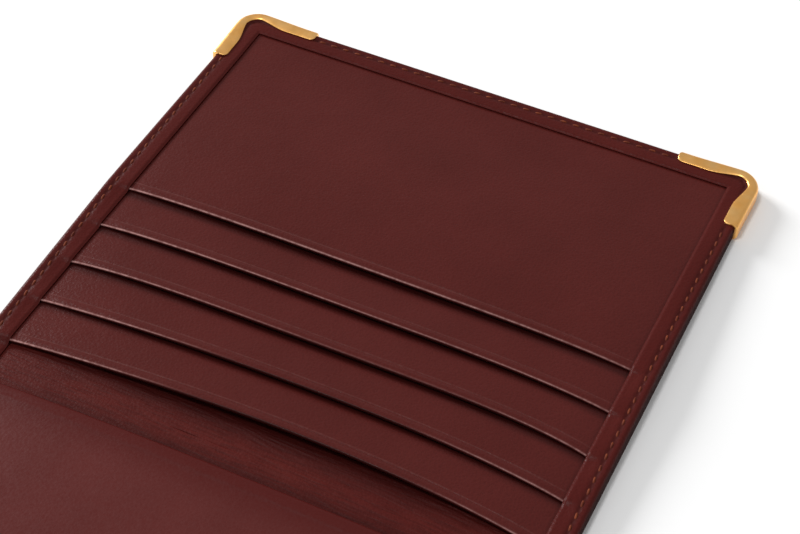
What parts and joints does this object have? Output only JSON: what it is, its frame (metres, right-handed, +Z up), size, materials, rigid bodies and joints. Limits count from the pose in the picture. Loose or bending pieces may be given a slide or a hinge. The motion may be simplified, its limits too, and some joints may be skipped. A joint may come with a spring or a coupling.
{
  "type": "wallet",
  "caption": "Flat leather wallet that folds once over a flat spine, with a stair of card slots, a full pocket, stitched turned edges and metal corner clips.",
  "frame": {"origin": "on the table under the middle of the spine, with the wallet lying open", "axes": "+X along the fold, +Y from the spine to the card leaf's outer edge, +Z up"},
  "size_m": [0.0966, 0.1774, 0.0038],
  "materials": {
    "cover_leather": "smooth dark bordeaux leather with a fine grain",
    "panel_leather": "smooth bordeaux leather with a fine grain",
    "lining": "thin soft leather, finely wrinkled at the fold",
    "board": "thin stiffening board",
    "fabric": "thin woven pocket lining",
    "thread": "rust-brown waxed thread",
    "gold_metal": "polished pale gold"
  },
  "bodies": {
    "card_leaf": {"card_cover": "cover_leather", "card_stiffener": "board", "card_lining": "lining", "slot_panel_1": "panel_leather", "slot_panel_2": "panel_leather", "slot_panel_3": "panel_leather", "slot_panel_4": "panel_leather", "slot_panel_5": "panel_leather", "slot_tail_2": "fabric", "slot_tail_3": "fabric", "slot_tail_4": "fabric", "slot_tail_5": "fabric", "card_thread": "thread", "card_corner_left": "gold_metal", "card_corner_right": "gold_metal"},
    "spine": {"spine_cover": "cover_leather", "spine_reinforcement": "board", "spine_lining": "lining", "spine_thread": "thread"},
    "pocket_leaf": {"pocket_cover": "cover_leather", "pocket_stiffener": "board", "pocket_lining": "lining", "pocket_panel": "panel_leather", "pocket_thread": "thread", "pocket_corner_left": "gold_metal", "pocket_corner_right": "gold_metal"}
  },
  "joints": [
    {"name": "card_side_fold", "type": "hinge", "parent": "card_leaf", "child": "spine", "pos_m": [0, 0.0025, 0.00189], "axis": [-1, 0, 0], "range_deg": [0, 90]},
    {"name": "pocket_side_fold", "type": "hinge", "parent": "spine", "child": "pocket_leaf", "pos_m": [0, -0.0025, 0.00189], "axis": [-1, 0, 0], "range_deg": [0, 90]}
  ],
  "couplings": [
    {"joint": "pocket_side_fold", "follows": "card_side_fold", "ratio": 1}
  ]
}
